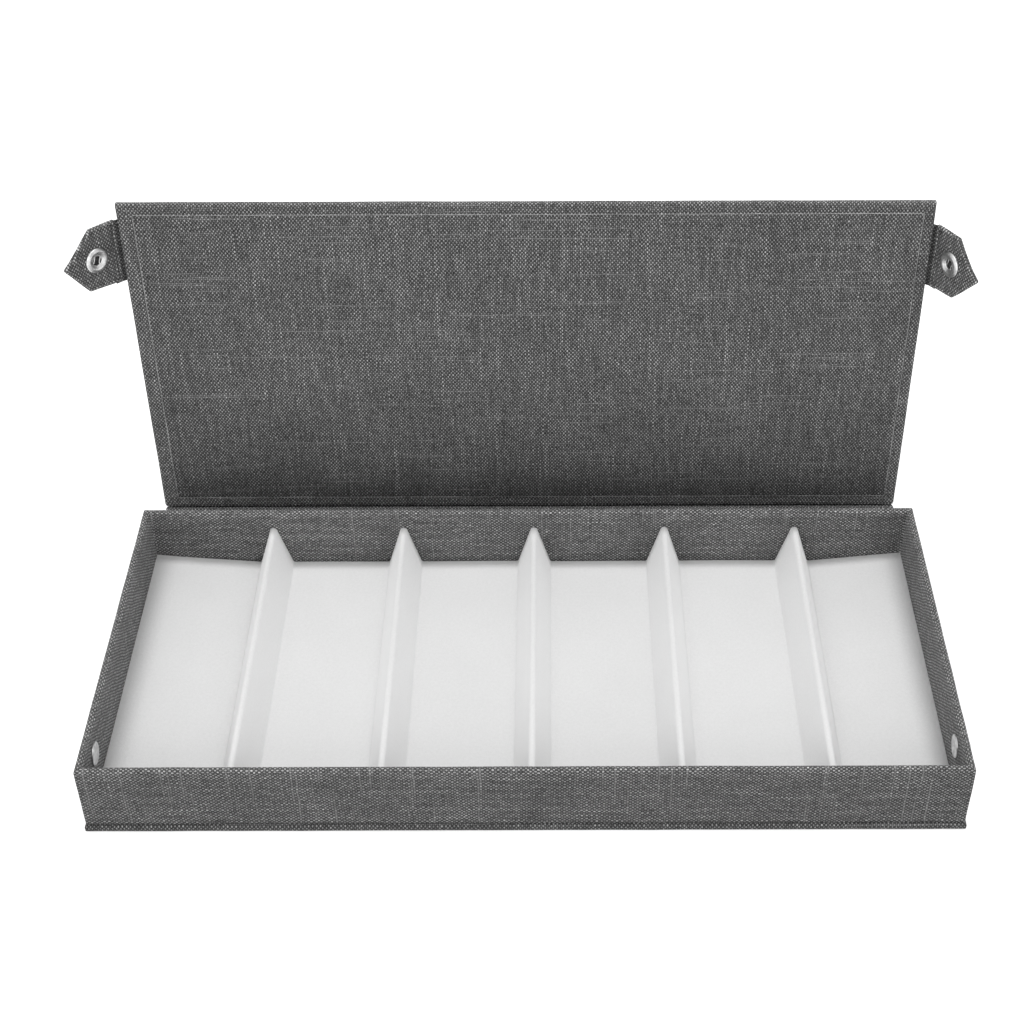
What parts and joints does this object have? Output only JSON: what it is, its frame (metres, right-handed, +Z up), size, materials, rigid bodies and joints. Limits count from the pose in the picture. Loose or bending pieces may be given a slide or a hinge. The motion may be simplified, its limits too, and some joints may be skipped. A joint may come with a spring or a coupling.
{
  "type": "multi glasses organizer",
  "caption": "Long shallow cloth-covered box with a velvet-lined tray split by rounded ridges, a book-style folding lid, and side tabs that snap shut.",
  "frame": {"origin": "middle of the case's flat underside, on the surface that the box stands on", "axes": "+X along the box's length, to the right seen from the front; -Y towards the front; +Z up"},
  "size_m": [0.4118, 0.2193, 0.1759],
  "materials": {
    "grey_linen": "heathered linen-look bookcloth, matt",
    "greyboard": "raw greyboard",
    "white_card": "plain white card",
    "ridge_foam": "light foam board, matt",
    "white_velvet": "short-pile velvet",
    "snap_steel": "nickel-plated steel"
  },
  "bodies": {
    "case": {"base_cover": "grey_linen", "base_board": "greyboard", "tray_front_board": "greyboard", "tray_rear_board": "greyboard", "tray_left_board": "greyboard", "tray_right_board": "greyboard", "tray_cover": "grey_linen", "insert_card": "white_card", "divider_core_1": "ridge_foam", "divider_core_2": "ridge_foam", "divider_core_3": "ridge_foam", "divider_core_4": "ridge_foam", "divider_core_5": "ridge_foam", "velvet_liner": "white_velvet", "snap_stud_left": "snap_steel", "snap_stud_right": "snap_steel", "stud_cap_left": "snap_steel", "stud_cap_right": "snap_steel"},
    "spine": {"spine_cover": "grey_linen", "spine_board": "greyboard", "spine_lining": "grey_linen", "hinge_cloth_lower": "grey_linen"},
    "lid": {"lid_cover": "grey_linen", "lid_board": "greyboard", "lid_lining": "grey_linen", "hinge_cloth_upper": "grey_linen", "tab_hinge_left": "grey_linen", "tab_hinge_right": "grey_linen"},
    "tab_left": {"tab_left_inner_cloth": "grey_linen", "tab_left_stiffener": "white_card", "tab_left_outer_cloth": "grey_linen", "snap_socket_left": "snap_steel", "socket_spring_left": "snap_steel", "snap_cap_left": "snap_steel"},
    "tab_right": {"tab_right_inner_cloth": "grey_linen", "tab_right_stiffener": "white_card", "tab_right_outer_cloth": "grey_linen", "snap_socket_right": "snap_steel", "socket_spring_right": "snap_steel", "snap_cap_right": "snap_steel"}
  },
  "joints": [
    {"name": "spine_fold", "type": "hinge", "parent": "case", "child": "spine", "pos_m": [0, 0.0882, 0.00025], "axis": [1, 0, 0], "range_deg": [0, 90], "deforming": ["hinge_cloth_lower"]},
    {"name": "lid_fold", "type": "hinge", "parent": "spine", "child": "lid", "pos_m": [0, 0.1279, 0.00025], "axis": [1, 0, 0], "range_deg": [-88, 2], "deforming": ["hinge_cloth_upper"]},
    {"name": "tab_left_fold", "type": "hinge", "parent": "lid", "child": "tab_left", "pos_m": [-0.1868, 0.13095, 0.15194], "axis": [0, 0.0349, 0.9994], "range_deg": [-46, 44], "deforming": ["tab_hinge_left"]},
    {"name": "tab_right_fold", "type": "hinge", "parent": "lid", "child": "tab_right", "pos_m": [0.1868, 0.13086, 0.14944], "axis": [0, -0.0349, -0.9994], "range_deg": [-60, 30], "deforming": ["tab_hinge_right"]}
  ]
}
